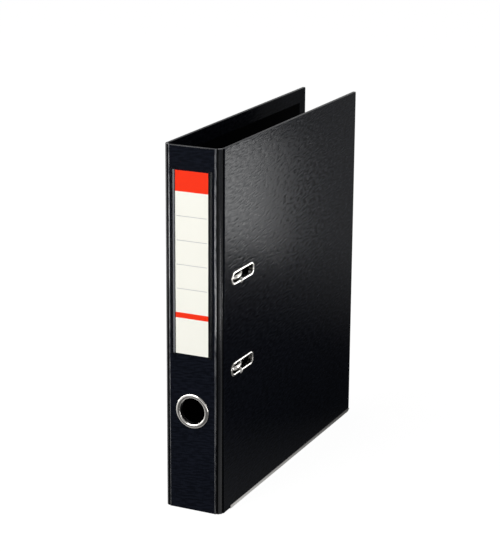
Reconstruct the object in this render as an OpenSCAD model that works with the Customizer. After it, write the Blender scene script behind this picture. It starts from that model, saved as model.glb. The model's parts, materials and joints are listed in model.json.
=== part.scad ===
// A4 lever arch binder, standing closed on its bottom edges.
// +Z up, front cover at +X, back cover at -X, spine at -Y. Millimetres.

/* [Binder] */
// Height of the whole binder, over the bottom rails
height = 318; // [280:1:340]
// Depth from the spine's outer face to the fore edge of the covers
depth = 285; // [240:1:320]
// Thickness over both covers when closed
thickness = 54; // [52:1:80]
// Thickness of the greyboard
board_t = 2; // [1.6:0.1:3]
// Thickness of the embossed outer film
skin_t = 0.3; // [0.2:0.05:0.5]
// Thickness of the inner lining, and of the film that is turned in beside it
lining_t = 0.2; // [0.1:0.05:0.5]
// Width of the film turned in along the inside edges
turn_in = 13; // [8:1:20]
// Radius of the lower fore corners of the covers
low_corner_r = 4.5; // [2:0.5:8]
// Radius of the upper fore corners of the covers
top_corner_r = 1.2; // [0.6:0.1:4]

/* [Creases] */
// Setback of each 45 degree hinge strip, along the spine and along the cover
bevel = 3.5; // [3:0.1:8]
// Gap between two panels at their fold line
crease_gap = 0.4; // [0.3:0.05:1]
// How far the groove at each crease opens at the outer face
groove_w = 0.8; // [0.3:0.1:1.2]

/* [Bottom rails] */
// Height of the rail's two lips
rail_h = 2.9; // [2:0.1:6]
// Thickness of the rail's metal
rail_t = 0.4; // [0.3:0.05:0.8]
// Where the rail starts, measured from the spine's outer face
rail_start = 17.8; // [12:0.1:40]
// How far the rail runs past the fore edge
rail_over = 0.4; // [0:0.1:1]
// Clearance between the rail's lips and the cover
rail_fit = 0.05; // [0.02:0.01:0.2]

/* [Finger ring] */
// Bore of the finger ring
finger_bore = 23; // [18:0.5:28]
// Width of the finger ring's flange
finger_flange_w = 3.8; // [2.5:0.1:5]
// Height of the domed flange above the spine
finger_flange_h = 1.3; // [0.8:0.1:2]
// Height of the ring's centre above the ground
finger_z = 90.5; // [60:0.5:110]
// Wall of the tube that joins the two halves
finger_wall = 0.6; // [0.4:0.1:1]
// Thickness of the inner half
finger_inner_t = 0.9; // [0.6:0.1:2]
// Clearance of seated metal fittings in their holes
seat_fit = 0.05; // [0.02:0.01:0.1]

/* [Label pocket] */
// Width of the clear pocket over its welds
pocket_w = 39; // [34:0.5:41]
// Height of the pocket's lower weld above the ground
pocket_z = 138.8; // [110:0.1:180]
// Length of the pocket, open at its top
pocket_len = 160.2; // [100:0.1:180]
// Thickness of the clear film
film_t = 0.2; // [0.1:0.05:0.4]
// Space between the film and the spine
pocket_space = 0.8; // [0.6:0.05:1.5]
// Width of the weld along the sides and the foot
weld_w = 1.5; // [1:0.1:3]
// Width of the insert card
card_w = 30.3; // [20:0.1:33]
// Length of the insert card
card_len = 157; // [90:0.5:160]
// Thickness of the insert card
card_t = 0.3; // [0.2:0.05:0.4]
// Gap between the card's foot and the pocket's foot weld
card_foot = 0.3; // [0.2:0.05:1]

/* [Cover slots] */
// Clear length of a slot
slot_len = 39; // [37:0.5:42]
// Clear height of a slot
slot_gap = 7.6; // [7.5:0.1:9]
// Corner radius of the clear slot
slot_r = 3.6; // [1:0.1:3.7]
// Width of the domed metal rim
slot_rim_w = 2.3; // [1.5:0.1:3.5]
// Height of the rim above the cover
slot_rim_h = 0.9; // [0.5:0.1:1.5]
// Wall of the slot's neck through the cover
slot_wall = 0.5; // [0.3:0.1:0.8]
// Thickness of the inner half of the eyelet
slot_inner_t = 0.6; // [0.4:0.1:1]
// Distance of the slot's centre from the spine's outer face
slot_v = 40; // [39:0.5:41]
// Radius of the raised catch on the slot's lower rim
catch_r = 2.6; // [1.5:0.1:2.6]
// Height of the catch above the cover
catch_h = 1.9; // [1:0.1:2.5]
// Distance of the catch from the spine's outer face
catch_v = 37; // [30:0.5:50]

/* [Rings] */
// Spacing of the two rings
ring_pitch = 80; // [70:1:108]
// Height of the middle between the rings
ring_mid_z = 164.5; // [150:0.5:170]
// Radius of the arch wire and of the posts
wire_r = 2; // [1.6:0.1:2.2]
// Distance of the arch's leg from the spine's outer face
leg_v = 24; // [23.5:0.1:25]
// Distance of the fixed post from the spine's outer face
post_v = 54; // [52:0.5:58]
// Inside bend between the arch's leg and its top, at the wire's middle
leg_bend = 5; // [4:0.5:7]
// Straight run along the arch's top
top_run = 1; // [0.5:0.5:7]
// Height of the wire's middle above the front cover's outer face
arch_proud = -0.5; // [-1:0.1:3]
// Gap between the arch's tip and the post
tip_gap = 0.3; // [0.2:0.05:0.5]
// Straight end of the arch above the post
tip_run = 2; // [1:0.5:4]
// Bend between the arch's leg and its axle, at the wire's middle
foot_bend = 4; // [3.5:0.1:5]
// How much thinner the arch's tip is than the wire
tip_taper = 0.2; // [0.1:0.05:0.5]
// Radius of the pilot on the arch's tip, at its end
pilot_end_r = 0.5; // [0.3:0.05:0.8]
// Radius of the pilot on the arch's tip, at its root
pilot_root_r = 1.1; // [0.8:0.05:1.3]
// Length of the pilot inside the post
pilot_len = 0.4; // [0.2:0.05:0.8]
// Depth of the dish in the post's end
dish_depth = 1.2; // [1:0.1:2]
// Radius of the dish at its bottom
dish_low_r = 0.6; // [0.4:0.1:1]
// Width of the land round the dish
dish_land = 0.4; // [0.3:0.05:0.6]
// Length of the chamfer at the post's end
post_chamfer = 0.4; // [0.2:0.05:0.8]
// How much the chamfer narrows the post
post_taper = 0.25; // [0.1:0.05:0.35]
// Width of the collar round the post's foot
collar_w = 1.5; // [1:0.1:3]
// Height of the collar
collar_h = 0.8; // [0.5:0.1:1.2]
// Radius of the post's tenon in the base plate
post_tenon_r = 1.4; // [1:0.1:1.6]

/* [Mechanism] */
// Thickness of the base plate
plate_t = 1; // [0.8:0.1:1.5]
// Width of the base plate
plate_w = 46; // [45:0.5:50]
// How far the base plate runs past each ring
plate_over = 14; // [13:0.5:20]
// Corner radius of the base plate
plate_corner = 4; // [2:0.5:8]
// Height of the base plate's turned-up sides
flange_h = 2.4; // [1.5:0.1:3]
// How much shorter the turned-up sides are than the ring spacing
flange_short = 8; // [6:0.5:12]
// Height of the arch wire's axle above the back cover's lining
axle_u = 4.5; // [4.5:0.1:6]
// Reach of the crank from the axle
crank_reach = 13; // [12:0.1:14]
// Length of the crank along the binder
crank_len = 32; // [28:1:34]
// Bends of the crank, at the wire's middle
crank_bend = 3; // [2.5:0.1:4]
// Running clearance of the wire in its saddles
axle_fit = 0.08; // [0.04:0.01:0.1]
// Length of each saddle
saddle_len = 7; // [5:0.5:8]
// Wall of a saddle
saddle_wall = 1; // [0.8:0.1:1.2]
// Gap between each saddle and the arch's foot bend
saddle_gap = 0.8; // [0.5:0.1:2]
// Diameter of the spring's wire
spring_wire = 0.9; // [0.6:0.1:1]
// Turns of the spring
spring_turns = 4; // [3:1:4]
// Gap between the spring and the axle
spring_gap = 0.3; // [0.2:0.05:0.5]
// Gap between the spring's turns
turn_gap = 0.1; // [0.1:0.05:0.3]
// Length of the spring's leg under the crank
spring_leg = 10.5; // [8:0.5:12]
// Length of the spring's leg on the plate
spring_tail = 3.6; // [2:0.1:5]
// Radius of the rivets' shanks
rivet_r = 1.7; // [1.2:0.1:2]
// Height of the rivets' outer heads
rivet_head_h = 1.2; // [0.6:0.1:1.5]
// Radius of the rivets' outer heads
rivet_head_r = 4; // [3:0.1:5]
// Radius of the rivets' set heads
rivet_set_r = 2.8; // [2.2:0.1:3.5]
// Height of the rivets' set heads
rivet_set_h = 0.9; // [0.5:0.1:1.2]
// Distance of the rivets from the base plate's ends
rivet_in = 6.5; // [5:0.5:8]

/* [Lever] */
// Distance of the lever's middle from the axle
lever_offset = 11.8; // [11:0.1:13]
// Height of the lever's pin above the back cover's lining
pin_u = 18.2; // [18.2:0.1:20]
// Distance of the lever's pin below the middle of the rings
pin_drop = 28; // [26:0.5:28]
// Width of the lever's channel
lever_w = 12; // [11:0.5:13]
// Thickness of the lever's steel
lever_t = 1; // [0.8:0.1:1.2]
// Radius of the lever's curved back
lever_curve = 70; // [60:1:90]
// Angle of the lever's curved back
lever_sweep = 33; // [28:1:33]
// Straight part of the lever's back in front of its pin
lever_straight = 22; // [20:0.5:22]
// Height of the lever's back above its pin
lever_rise = 4.5; // [4:0.1:5]
// Radius of the lever's cheeks round its pin
boss_r = 4.2; // [3.5:0.1:4.4]
// Radius of the lever's cheeks round the roller pin
roller_boss_r = 3.6; // [3:0.1:4]
// Angle on the curved back where the cheeks start to follow it
cheek_from = 3; // [1:1:5]
// Angle on the curved back where the cheeks end
cheek_to = 21; // [15:1:25]
// Distance of the cheeks' lower corner in front of the roller
cheek_ahead = 16; // [12:0.5:20]
// Height of the cheeks' lower corner beside the lever's pin
cheek_low = 0.5; // [0.3:0.1:2]
// Thickness of the ears that hold the lever's pin
ear_t = 1.2; // [1:0.1:1.5]
// Gap between the lever and each ear
ear_gap = 0.4; // [0.3:0.05:0.6]
// Half width of an ear at the base plate
ear_foot = 8; // [6:0.5:10]
// Radius of an ear round the lever's pin
ear_r = 4.2; // [3:0.1:4.5]
// Radius of the pins
pin_r = 1.5; // [1.2:0.1:1.7]
// Height of the lever pin's set heads
pin_head_h = 0.9; // [0.5:0.1:1.2]
// Radius of the lever pin's set heads
pin_head_r = 2.5; // [2:0.1:3]
// How much the pins' heads narrow towards their faces
head_taper = 0.5; // [0.2:0.05:0.8]
// Height of the roller pin's set heads
roller_head_h = 0.3; // [0.2:0.05:0.3]
// Radius of the roller pin's set heads
roller_head_r = 2.2; // [1.8:0.1:2.5]
// Radius of the roller
roller_r = 3.5; // [3:0.1:3.5]
// Distance of the roller in front of the lever's pin
roller_ahead = 16; // [15:0.5:17]
// Gap between the closed roller and the crank
roller_gap = 0.2; // [0.1:0.05:0.4]
// Gap between the roller and each cheek
roller_side = 0.4; // [0.3:0.05:0.6]
// Chamfer of the roller's edges
roller_chamfer = 0.6; // [0.3:0.1:1]
// Width of the moulded grip
grip_w = 15; // [13:0.5:17]
// Angle of the lever's back that the grip covers
grip_angle = 13; // [10:1:16]
// Angle by which the grip runs past the lever's end
grip_over = 3; // [2:0.5:4]
// Thickness of the grip over the lever's back
grip_t = 2; // [1.5:0.1:3]
// Thickness of the grip at its ends
grip_end_t = 1; // [0.6:0.1:1.2]

/* [Compressor bar] */
// Width of the bar
bar_w = 14; // [12:0.5:14.5]
// How far the bar runs past each post
bar_over = 12; // [8:0.5:20]
// Thickness of the bar
bar_t = 1; // [0.8:0.1:1.5]
// Height of the turned-up edges over the bar's sheet
bar_edge = 2; // [1:0.1:3]
// Height of the bar's sheet above the lining at rest
bar_rest = 3.4; // [3.4:0.1:6]
// Running clearance of the clips on the posts
clip_fit = 0.1; // [0.05:0.01:0.1]
// Wall of a clip's bush
clip_wall = 1.8; // [1.2:0.1:2.5]
// Thickness of the snap lip below the bar
lip_h = 0.5; // [0.4:0.1:1]
// Width of the snap lip
lip_w = 0.5; // [0.3:0.1:0.8]
// Height of a clip's head above the bar
clip_head_h = 1.4; // [1:0.1:2]
// Width of a clip's thumb tab
tab_w = 6; // [4:0.5:8]
// Length of a clip's thumb tab, from the post's middle
tab_len = 12; // [9:0.5:16]
// Corner radius of the bar
bar_corner = 3; // [1:0.5:5]
// Distance from the bar's ends to its turned-up edges
bar_edge_in = 4; // [3:0.5:6]

/* [Hidden] */
$fn = 64;
eps = 0.01;

// Panels: local s runs along the panel, local t is the thickness, outwards positive
panel_t = board_t + skin_t + lining_t;
half_t = panel_t / 2;
fold = 45;
inner_t = -half_t + lining_t;
outer_t = half_t - skin_t;

// Fold lines, in x and in v, the distance behind the spine's outer face
spine_y = -depth / 2;
cover_fold_x = thickness / 2 - half_t;
spine_fold_x = cover_fold_x - bevel;
spine_fold_v = half_t;
cover_fold_v = half_t + bevel;
cover_len = depth - cover_fold_v;
strip_len = bevel * sqrt(2);
spine_len = 2 * spine_fold_x;
panel_z = rail_t;
panel_h = height - rail_t;

// Mechanism frame: u is the height above the back cover's lining, v is behind the spine
lining_x = -thickness / 2 + panel_t;
inner_gap = thickness - 2 * panel_t;
ring_z = [ring_mid_z - ring_pitch / 2, ring_mid_z + ring_pitch / 2];
ring_top_u = inner_gap + panel_t + arch_proud;
fore_bend = post_v - leg_v - leg_bend - top_run;
post_top_u = ring_top_u - fore_bend - tip_run;
crank_z = [ring_mid_z - crank_len / 2, ring_mid_z + crank_len / 2];
plate_v = (leg_v + post_v) / 2;
plate_len = ring_pitch + 2 * plate_over;
rivet_out = plate_over - rivet_in;
lever_v = leg_v + lever_offset;
pin_z = ring_mid_z - pin_drop;
roller_u = axle_u + wire_r + roller_gap + roller_r;
roller_drop = pin_u - roller_u;

// ---------------------------------------------------------------- panels

// Distance of a panel's edge from its fold line, at the height t in its thickness
function setback(t) =
    crease_gap / 2 + (t < 0 ? -t * tan(fold / 2) : groove_w * pow(t / half_t, 2));

// Heights at which a creased edge changes direction, between t0 and t1
function edge_levels(t0, t1) =
    [for (t = concat([t0], [for (k = [-1:4]) k * half_t / 5], [t1])) if (t >= t0 && t <= t1) t];

function creased_end(levels, at, side) = [for (t = levels) [at + side * setback(t), t]];

function plain_end(levels, at) = [for (t = levels) [at, t]];

function flipped(list) = [for (i = [len(list) - 1:-1:0]) list[i]];

// Cross-section of one layer; its first end is creased, its last end is creased or plain
module layer_section(length, t0, t1, creased) {
    levels = edge_levels(t0, t1);
    last = creased ? creased_end(levels, length, -1) : plain_end(levels, length);
    polygon(concat(creased_end(levels, 0, 1), flipped(last)));
}

// What is cut from a corner of a cover at (length, z); up is 1 at the top and -1 at the foot
module corner_cut(length, z, r, up) {
    translate([length, half_t + 1, z])
        rotate([90, 0, 0])
            linear_extrude(panel_t + 2)
                difference() {
                    translate([-r, up > 0 ? -r : -1]) square(r + 1);
                    translate([-r, -up * r]) circle(r);
                }
}

// One layer of a panel, drawn back from the outer edges by inset
module layer(length, t0, t1, inset, creased) {
    reach = creased ? length : length - inset;
    difference() {
        translate([0, 0, panel_z + inset])
            linear_extrude(panel_h - 2 * inset)
                layer_section(reach, t0, t1, creased);
        if (!creased) {
            corner_cut(reach, panel_z + inset, low_corner_r - inset, -1);
            corner_cut(reach, height - inset, top_corner_r - inset, 1);
        }
    }
}

module board_layer(length, creased) {
    layer(length, inner_t, outer_t, skin_t, creased);
}

module lining_layer(length, creased) {
    levels = edge_levels(-half_t, inner_t);
    last = creased ? creased_end(levels, length, -1) : plain_end(levels, length - turn_in);
    translate([0, 0, panel_z + turn_in])
        linear_extrude(panel_h - 2 * turn_in)
            polygon(concat(creased_end(levels, 0, 1), flipped(last)));
}

// The film covers the outer face, wraps the edges and is turned in beside the lining
module skin_layer(length, creased) {
    past = creased ? length + half_t : length - skin_t;
    window = creased ? length + half_t : length - turn_in;
    difference() {
        layer(length, -half_t, half_t, 0, creased);
        difference() {
            translate([-half_t, inner_t, panel_z + skin_t])
                cube([past + half_t, outer_t - inner_t, panel_h - 2 * skin_t]);
            if (!creased) {
                corner_cut(past, panel_z + skin_t, low_corner_r - skin_t, -1);
                corner_cut(past, height - skin_t, top_corner_r - skin_t, 1);
            }
        }
        translate([-half_t, -half_t - 1, panel_z + turn_in])
            cube([window + half_t, lining_t + 1 + eps, panel_h - 2 * turn_in]);
    }
}

module at_back_cover() {
    translate([-cover_fold_x, spine_y + cover_fold_v, 0]) rotate(90) children();
}

module at_back_hinge() {
    translate([-spine_fold_x, spine_y + spine_fold_v, 0]) rotate(90 + fold) children();
}

module at_spine() {
    translate([spine_fold_x, spine_y + spine_fold_v, 0]) rotate(180) children();
}

module front() {
    mirror([1, 0, 0]) children();
}

// Rounded rectangle with true arcs
module round_rect(w, h, r) {
    square([w - 2 * r, h], center = true);
    square([w, h - 2 * r], center = true);
    for (x = [-1, 1], y = [-1, 1])
        translate([x * (w / 2 - r), y * (h / 2 - r)]) circle(r);
}

// ---------------------------------------------------------------- holes in the panels

module at_mechanism() {
    translate([lining_x, spine_y, 0]) children();
}

// Places children at each rivet, with their Z axis pointing away from the back cover
module at_rivets() {
    at_mechanism()
        for (v = [leg_v, post_v], z = [ring_z[0] - rivet_out, ring_z[1] + rivet_out])
            translate([0, v, z]) rotate([0, 90, 0]) children();
}

module rivet_holes() {
    at_rivets() translate([0, 0, -panel_t - 1]) cylinder(r = rivet_r + seat_fit, h = panel_t + plate_t + 2);
}

// Places children at each slot on the front cover's outer face, Z outwards, X along the slot
module at_slots() {
    for (z = ring_z)
        translate([thickness / 2, spine_y + slot_v, z]) rotate([90, 0, 90]) children();
}

module slot_holes() {
    grow = slot_wall + seat_fit;
    at_slots()
        translate([0, 0, -panel_t - 1])
            linear_extrude(panel_t + 2)
                round_rect(slot_len + 2 * grow, slot_gap + 2 * grow, slot_r + grow);
}

// Places children on the finger ring's axis at the spine's outer face, Z outwards
module at_finger_ring() {
    translate([0, spine_y, finger_z]) rotate([90, 0, 0]) children();
}

module finger_hole() {
    at_finger_ring()
        translate([0, 0, -panel_t - 1])
            cylinder(r = finger_bore / 2 + finger_wall + seat_fit, h = panel_t + 2);
}

// ---------------------------------------------------------------- back cover

module back_board() {
    color("dimgray") difference() {
        at_back_cover() board_layer(cover_len, false);
        rivet_holes();
    }
}

module back_outer_skin() {
    color("#1b1b1e") difference() {
        at_back_cover() skin_layer(cover_len, false);
        rivet_holes();
    }
}

module back_lining() {
    color("#101012") difference() {
        at_back_cover() lining_layer(cover_len, false);
        rivet_holes();
    }
}

// U-shaped edge rail under one cover, rounded like the cover's lower fore corner
module bottom_rail() {
    outside = half_t + rail_fit + rail_t;
    start = rail_start - cover_fold_v;
    length = cover_len + rail_over - start;
    difference() {
        translate([start, -outside, 0]) cube([length, 2 * outside, rail_h]);
        translate([start - 1, -half_t - rail_fit, rail_t])
            cube([length + 2, panel_t + 2 * rail_fit, rail_h]);
        corner_cut(start + length, 0, low_corner_r, -1);
    }
}

module back_bottom_rail() {
    color("silver") at_back_cover() bottom_rail();
}

// ---------------------------------------------------------------- hinge strips

module back_hinge_board() {
    color("dimgray") at_back_hinge() board_layer(strip_len, true);
}

module back_hinge_skin() {
    color("#1b1b1e") at_back_hinge() skin_layer(strip_len, true);
}

module back_hinge_lining() {
    color("#101012") at_back_hinge() lining_layer(strip_len, true);
}

module front_hinge_board() {
    color("dimgray") front() at_back_hinge() board_layer(strip_len, true);
}

module front_hinge_skin() {
    color("#1b1b1e") front() at_back_hinge() skin_layer(strip_len, true);
}

module front_hinge_lining() {
    color("#101012") front() at_back_hinge() lining_layer(strip_len, true);
}

// ---------------------------------------------------------------- spine

module spine_board() {
    color("dimgray") difference() {
        at_spine() board_layer(spine_len, true);
        finger_hole();
    }
}

module spine_outer_skin() {
    color("#1b1b1e") difference() {
        at_spine() skin_layer(spine_len, true);
        finger_hole();
    }
}

module spine_lining() {
    color("#101012") difference() {
        at_spine() lining_layer(spine_len, true);
        finger_hole();
    }
}

// Domed outline of a rolled metal rim, w wide and h high, from its outer to its inner edge
function dome(w, h, steps) =
    [for (i = [0:steps]) let (a = 180 * i / steps) [w / 2 + w / 2 * cos(a), h * pow(sin(a), 0.7)]];

module finger_ring_outer() {
    inner_r = finger_bore / 2;
    depth_in = panel_t + finger_inner_t;
    color("silver")
        at_finger_ring()
            rotate_extrude()
                translate([inner_r, 0])
                    union() {
                        polygon(dome(finger_flange_w, finger_flange_h, 12));
                        translate([0, -depth_in]) square([finger_wall, depth_in + eps]);
                    }
}

module finger_ring_inner() {
    hole_r = finger_bore / 2 + finger_wall + seat_fit;
    color("silver")
        at_finger_ring()
            translate([0, 0, -panel_t])
                mirror([0, 0, 1])
                    rotate_extrude()
                        translate([hole_r, 0])
                            polygon(dome(finger_flange_w - finger_wall, finger_inner_t, 10));
}

// Half cross-section of the raised film, from its weld to the middle
module pocket_section() {
    edge = pocket_w / 2;
    lift = pocket_space + film_t;
    shoulder = edge - weld_w - pocket_space;
    for (side = [0, 1])
        mirror([side, 0])
            polygon([
                [0, -lift], [shoulder, -lift], [edge - weld_w, -film_t], [edge, -film_t], [edge, 0],
                [edge - weld_w - film_t / 2, 0], [shoulder - film_t / 2, -pocket_space],
                [0, -pocket_space]
            ]);
}

module label_pocket() {
    color("lightblue", 0.4)
        translate([0, spine_y, pocket_z]) {
            linear_extrude(pocket_len) pocket_section();
            rotate([90, 0, 90])
                translate([0, 0, -pocket_w / 2 + weld_w])
                    linear_extrude(pocket_w - 2 * weld_w)
                        polygon([
                            [0, 0], [-film_t, 0], [-film_t - pocket_space, weld_w],
                            [-pocket_space, weld_w], [0, weld_w]
                        ]);
        }
}

// The insert card stands on the pocket's foot weld, midway between the film and the spine
module label_card() {
    color("ivory")
        translate([-card_w / 2, spine_y - (pocket_space + card_t) / 2, pocket_z + weld_w + card_foot])
            cube([card_w, card_t, card_len]);
}

// ---------------------------------------------------------------- front cover

module front_board() {
    color("dimgray") difference() {
        front() at_back_cover() board_layer(cover_len, false);
        slot_holes();
    }
}

module front_outer_skin() {
    color("#1b1b1e") difference() {
        front() at_back_cover() skin_layer(cover_len, false);
        slot_holes();
    }
}

module front_lining() {
    color("#101012") difference() {
        front() at_back_cover() lining_layer(cover_len, false);
        slot_holes();
    }
}

module front_bottom_rail() {
    color("silver") front() at_back_cover() bottom_rail();
}

// Sweeps a section round a rounded rectangle; the section's x runs outwards from that outline
module swept_rim(w, h, r) {
    for (k = [0:3]) {
        wide = k % 2 == 0 ? w : h;
        high = k % 2 == 0 ? h : w;
        rotate(90 * k) {
            translate([wide / 2 - r, high / 2 - r])
                rotate_extrude(angle = 90) translate([r, 0]) children();
            translate([wide / 2, -high / 2 + r, 0])
                rotate([90, 0, 180])
                    linear_extrude(high - 2 * r) mirror([1, 0]) children();
        }
    }
}

// Raised round catch astride the lower rim, where the arch snaps past it
module slot_catch() {
    translate([catch_v - slot_v, -(slot_gap + slot_rim_w) / 2, 0])
        rotate_extrude()
            polygon(concat([[0, 0]], [for (a = [0:15:90]) [catch_r * cos(a), catch_h * sin(a)]]));
}

module slot_eyelets_outer() {
    color("silver")
        at_slots() {
            swept_rim(slot_len, slot_gap, slot_r)
                union() {
                    polygon(dome(slot_rim_w, slot_rim_h, 8));
                    translate([0, -panel_t - slot_inner_t])
                        square([slot_wall, panel_t + slot_inner_t + eps]);
                }
            slot_catch();
        }
}

module slot_eyelets_inner() {
    grow = slot_wall + seat_fit;
    color("silver")
        at_slots()
            translate([0, 0, -panel_t])
                mirror([0, 0, 1])
                    swept_rim(slot_len + 2 * grow, slot_gap + 2 * grow, slot_r + grow)
                        polygon(dome(slot_rim_w - grow, slot_inner_t, 6));
}

// ---------------------------------------------------------------- base plate and its fittings

module plate_outline() {
    translate([plate_v, ring_mid_z]) round_rect(plate_w, plate_len, plate_corner);
}

// Puts a drawing in (v, z) on the plane u = 0 of the mechanism, thickness towards the rings
module on_plate() {
    at_mechanism() rotate([90, 0, 90]) children();
}

module saddle(z) {
    outer = wire_r + axle_fit + saddle_wall;
    translate([axle_u, leg_v, z - saddle_len / 2]) {
        cylinder(r = outer, h = saddle_len);
        translate([-axle_u + eps, -outer, 0]) cube([axle_u - eps, 2 * outer, saddle_len]);
    }
}

// Distance of each saddle from the middle between the rings
saddle_out = ring_pitch / 2 - foot_bend - saddle_len / 2 - saddle_gap;

module ear(v) {
    translate([0, v + ear_t / 2, pin_z])
        rotate([90, 0, 0])
            linear_extrude(ear_t) {
                polygon([[eps, -ear_foot], [pin_u, -ear_r], [pin_u, ear_r], [eps, ear_foot]]);
                translate([pin_u, 0]) circle(ear_r);
            }
}

ear_out = lever_w / 2 + ear_gap + ear_t / 2;

module base_plate() {
    flange_len = ring_pitch - flange_short;
    color("silver") difference() {
        union() {
            on_plate() linear_extrude(plate_t) plate_outline();
            at_mechanism() {
                for (side = [-1, 1])
                    translate([
                        0, plate_v + side * (plate_w - plate_t) / 2 - plate_t / 2, ring_mid_z - flange_len / 2
                    ])
                        cube([flange_h, plate_t, flange_len]);
                for (side = [-1, 1]) saddle(ring_mid_z + side * saddle_out);
                for (side = [-1, 1]) ear(lever_v + side * ear_out);
            }
        }
        at_mechanism() {
            for (side = [-1, 1])
                translate([axle_u, leg_v, ring_mid_z + side * saddle_out - saddle_len / 2 - 1])
                    cylinder(r = wire_r + axle_fit, h = saddle_len + 2);
            translate([pin_u, lever_v - ear_out - 2, pin_z])
                rotate([-90, 0, 0]) cylinder(r = pin_r + seat_fit, h = 2 * ear_out + 4);
            for (z = ring_z)
                translate([-1, post_v, z])
                    rotate([0, 90, 0]) cylinder(r = post_tenon_r + seat_fit, h = plate_t + 2);
        }
        rivet_holes();
    }
}

// A fixed post: riveted foot, collar, straight shank and a dished tip for the arch
module ring_post() {
    chamfer_u = post_top_u - post_chamfer;
    difference() {
        union() {
            cylinder(r = post_tenon_r, h = plate_t + eps);
            translate([0, 0, plate_t]) cylinder(r = wire_r + collar_w, h = collar_h);
            translate([0, 0, plate_t]) cylinder(r = wire_r, h = chamfer_u - plate_t);
            translate([0, 0, chamfer_u]) cylinder(r1 = wire_r, r2 = wire_r - post_taper, h = post_chamfer);
        }
        translate([0, 0, post_top_u - dish_depth])
            cylinder(r1 = dish_low_r, r2 = wire_r - dish_land, h = dish_depth + eps);
    }
}

module ring_posts() {
    color("silver")
        at_mechanism()
            for (z = ring_z) translate([0, post_v, z]) rotate([0, 90, 0]) ring_post();
}

// Shank through the cover and the plate, a domed head outside, a set head inside
module rivet() {
    rotate_extrude()
        polygon(concat(
            [[0, -panel_t - rivet_head_h]],
            [for (a = [75:-15:0]) [rivet_head_r * cos(a), -panel_t - rivet_head_h * sin(a)]],
            [[rivet_r, -panel_t], [rivet_r, plate_t]],
            [for (a = [0:15:90]) [rivet_set_r * cos(a), plate_t + rivet_set_h * sin(a)]]
        ));
}

module mechanism_rivets() {
    color("silver") at_rivets() rivet();
}

module lever_pin() {
    reach = ear_out + ear_t / 2;
    color("silver")
        at_mechanism()
            translate([pin_u, lever_v, pin_z])
                rotate([-90, 0, 0]) {
                    translate([0, 0, -reach - eps]) cylinder(r = pin_r, h = 2 * reach + 2 * eps);
                    for (side = [0, 1])
                        mirror([0, 0, side])
                            translate([0, 0, reach])
                                cylinder(r1 = pin_head_r, r2 = pin_head_r - head_taper, h = pin_head_h);
                }
}

// ---------------------------------------------------------------- spring

spring_r = wire_r + spring_gap + spring_wire / 2;
spring_pitch = spring_wire + turn_gap;
spring_low_z = crank_z[1] + crank_bend + spring_wire;
spring_steps = 18;

// Route of the spring in (u, v, z): a leg under the crank, the turns, and a leg on the plate
spring_route = concat(
    [
        [-spring_r, spring_leg, crank_z[1] - spring_wire / 2],
        [-spring_r, spring_r / 2, spring_low_z - spring_pitch / 5]
    ],
    [
        for (i = [0:spring_turns * spring_steps])
            let (a = 360 * i / spring_steps)
                [-spring_r * cos(a), -spring_r * sin(a), spring_low_z + spring_pitch * i / spring_steps]
    ],
    [[-spring_r, -spring_tail, spring_low_z + spring_pitch * (spring_turns + 1 / 5)]]
);

function unit(p) = p / norm(p);

// Ring of points round one point of a route; the route never runs along z
function ring_at(route, i, r, sides) =
    let (
        before = route[max(i - 1, 0)],
        after = route[min(i + 1, len(route) - 1)],
        along = unit(after - before),
        side = unit(cross(along, [0, 0, 1])),
        over = cross(side, along)
    )
        [for (k = [0:sides - 1]) route[i] + r * (cos(360 * k / sides) * side + sin(360 * k / sides) * over)];

module swept_wire(route, r, sides) {
    rings = len(route);
    polyhedron(
        points = [for (i = [0:rings - 1]) each ring_at(route, i, r, sides)],
        faces = concat(
            [[for (k = [sides - 1:-1:0]) k]],
            [
                for (i = [0:rings - 2], k = [0:sides - 1])
                    let (n = (k + 1) % sides)
                        [i * sides + k, i * sides + n, (i + 1) * sides + n, (i + 1) * sides + k]
            ],
            [[for (k = [0:sides - 1]) (rings - 1) * sides + k]]
        )
    );
}

module arch_spring() {
    color("gray")
        at_mechanism() translate([axle_u, leg_v, 0]) swept_wire(spring_route, spring_wire / 2, 8);
}

// ---------------------------------------------------------------- arches

// Quarter bend of the wire about the local Z axis, from +X towards +Y
module wire_bend(r) {
    rotate_extrude(angle = 90) translate([r, 0]) circle(wire_r);
}

// One arch in (u, v), from above its foot bend to its tip over the post
module arch() {
    side_u = ring_top_u - leg_bend;
    leg_low_u = axle_u + foot_bend;
    translate([leg_low_u, leg_v, 0]) rotate([0, 90, 0]) cylinder(r = wire_r, h = side_u - leg_low_u);
    translate([side_u, leg_v + leg_bend, 0]) rotate(-90) wire_bend(leg_bend);
    translate([ring_top_u, leg_v + leg_bend, 0]) rotate([-90, 0, 0]) cylinder(r = wire_r, h = top_run);
    translate([ring_top_u - fore_bend, post_v - fore_bend, 0]) wire_bend(fore_bend);
    translate([post_top_u + tip_gap, post_v, 0])
        rotate([0, 90, 0]) cylinder(r1 = wire_r - tip_taper, r2 = wire_r, h = tip_run - tip_gap);
    translate([post_top_u - pilot_len, post_v, 0])
        rotate([0, 90, 0]) cylinder(r1 = pilot_end_r, r2 = pilot_root_r, h = tip_gap + pilot_len + eps);
}

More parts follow.
